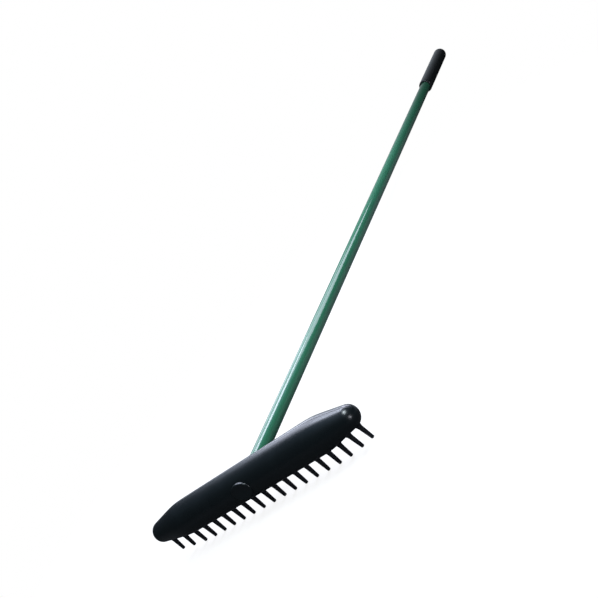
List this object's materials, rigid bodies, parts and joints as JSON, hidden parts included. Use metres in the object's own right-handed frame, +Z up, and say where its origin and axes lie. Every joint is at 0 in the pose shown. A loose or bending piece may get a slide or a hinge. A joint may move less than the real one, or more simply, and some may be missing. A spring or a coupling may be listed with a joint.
{
  "type": "bunker rake",
  "caption": "Long handled rake for smoothing sand: a round hollow head with a row of slim tines on its underside, a painted tube handle and a closed grip.",
  "frame": {"origin": "the small flat tip of the middle tine, which stands on the ground", "axes": "+Y from the head to the grip, +X along the head, +Z up from the ground that the tines and the grip rest on"},
  "size_m": [0.475, 1.6043, 0.0828],
  "materials": {
    "black_moulding": "satin black moulded head, cap and socket",
    "tine_nylon": "satin black moulded tines",
    "rail_polymer": "plain dark grey, inside the head",
    "green_paint": "glossy dark blue-green paint on a metal tube",
    "grip_rubber": "soft black grip, slight sheen",
    "zinc_steel": "zinc plated screws"
  },
  "bodies": {
    "root": {"front_shell": "black_moulding", "rear_shell": "black_moulding", "front_cap": "black_moulding", "handle_socket": "black_moulding", "tine_rail": "rail_polymer", "tine_01": "tine_nylon", "tine_02": "tine_nylon", "tine_03": "tine_nylon", "tine_04": "tine_nylon", "tine_05": "tine_nylon", "tine_06": "tine_nylon", "tine_07": "tine_nylon", "tine_08": "tine_nylon", "tine_09": "tine_nylon", "tine_10": "tine_nylon", "tine_11": "tine_nylon", "tine_12": "tine_nylon", "tine_13": "tine_nylon", "tine_14": "tine_nylon", "tine_15": "tine_nylon", "tine_16": "tine_nylon", "tine_17": "tine_nylon", "tine_18": "tine_nylon", "tine_19": "tine_nylon", "handle_tube": "green_paint", "handle_grip": "grip_rubber", "neck_screw": "zinc_steel", "shell_screw_1": "zinc_steel", "shell_screw_2": "zinc_steel", "shell_screw_3": "zinc_steel", "shell_screw_4": "zinc_steel"}
  },
  "joints": []
}
